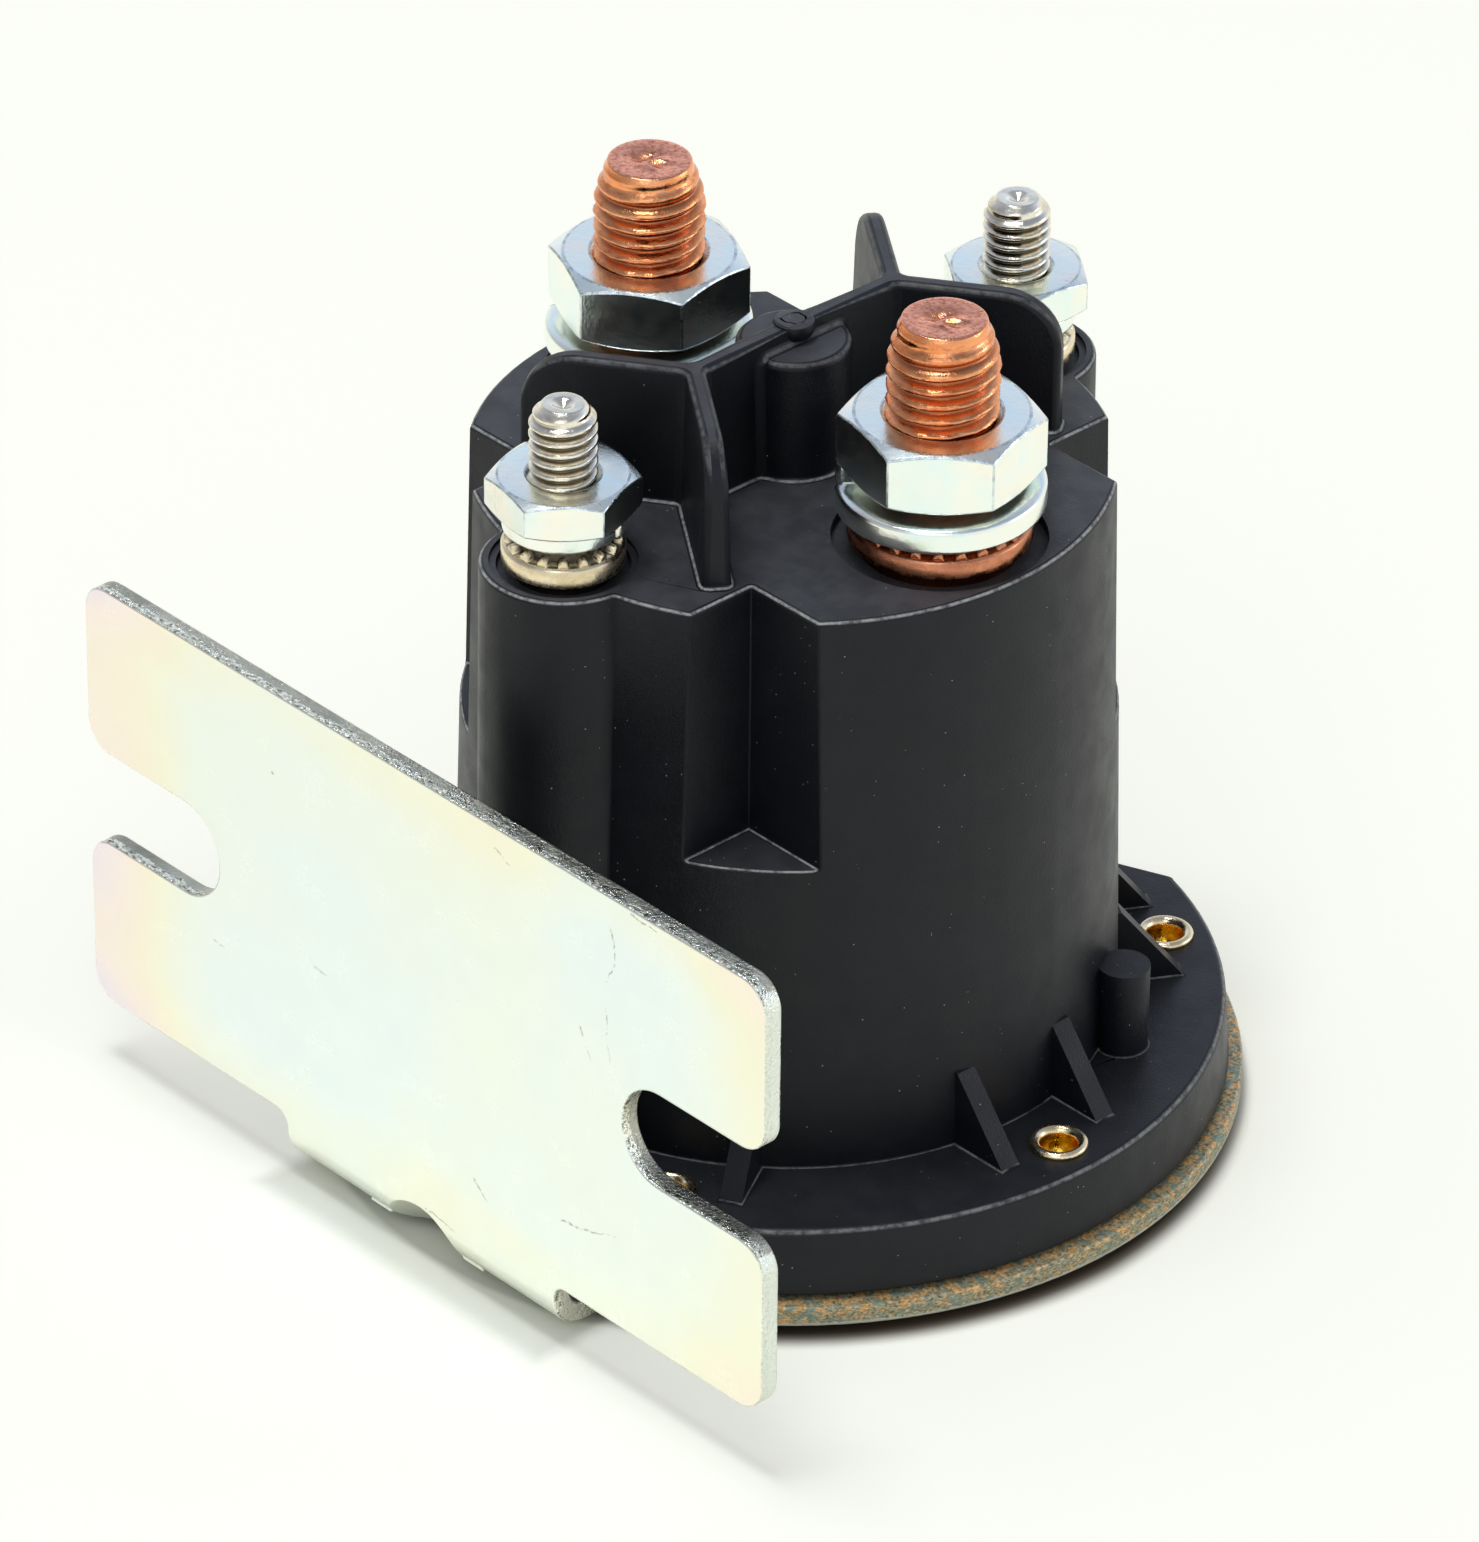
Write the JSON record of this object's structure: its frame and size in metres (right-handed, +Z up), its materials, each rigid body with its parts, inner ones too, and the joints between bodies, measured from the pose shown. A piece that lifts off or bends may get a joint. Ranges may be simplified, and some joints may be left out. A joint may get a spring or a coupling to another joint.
{
  "type": "continuous duty solenoid",
  "caption": "Sealed four stud power relay: round moulded housing with a forked terminal barrier, riveted to a bent bracket with open ended mounting slots.",
  "frame": {"origin": "on the coil axis, at the underside of the base disc", "axes": "+Z up along the coil axis towards the terminals, +X along the line of the two main studs, -Y towards the upright mounting plate"},
  "size_m": [0.0712, 0.0687, 0.0698],
  "materials": {
    "housing_plastic": "satin black moulding",
    "plated_sheet": "pale yellow zinc plating",
    "gasket_rubber": "matt black",
    "gilt_rivet": "yellow plated steel",
    "magnet_steel": "plain machined",
    "tube_brass": "drawn",
    "bobbin_plastic": "natural",
    "copper": "bare copper, bright",
    "coil_tape": "plain",
    "fibre": "moulded fibre",
    "spring_steel": "bright",
    "contact_silver": "silver alloy",
    "zinc_hardware": "bright zinc plating",
    "nickel_hardware": "nickel plating"
  },
  "bodies": {
    "base": {"housing": "housing_plastic", "base_bracket": "plated_sheet", "flange_gasket": "gasket_rubber", "flange_rivets": "gilt_rivet", "coil_can": "magnet_steel", "flux_plate": "magnet_steel", "fixed_pole": "magnet_steel", "guide_sleeve": "tube_brass", "coil_bobbin": "bobbin_plastic", "coil_winding": "copper", "winding_tape": "coil_tape", "coil_leads": "copper", "rest_pad": "fibre", "return_spring": "spring_steel", "insulating_disc": "fibre", "contact_tips": "contact_silver", "stud_gaskets": "gasket_rubber", "main_stud_front": "copper", "main_stud_back": "copper", "main_collars": "copper", "main_lock_washers": "zinc_hardware", "main_nuts": "zinc_hardware", "coil_stud_left": "nickel_hardware", "coil_stud_right": "nickel_hardware", "coil_collars": "nickel_hardware", "coil_lock_washers": "zinc_hardware", "coil_nuts": "zinc_hardware"},
    "plunger": {"plunger": "magnet_steel", "plunger_rod": "spring_steel", "retaining_clip": "spring_steel"},
    "contact": {"moving_contact": "copper", "contact_seat": "fibre", "contact_collar": "fibre", "contact_spring": "spring_steel"}
  },
  "joints": [
    {"name": "plunger_slide", "type": "slide", "parent": "base", "child": "plunger", "axis": [0, 0, 1], "range_m": [0, 0.00298], "stiffness_N_per_m": 900, "springref_m": -0.003, "deforming": ["return_spring"]},
    {"name": "contact_slide", "type": "slide", "parent": "base", "child": "contact", "axis": [0, 0, 1], "range_m": [0, 0.00238], "deforming": ["contact_spring"]}
  ],
  "couplings": [
    {"joint": "contact_slide", "follows": "plunger_slide", "ratio": 0.8}
  ]
}
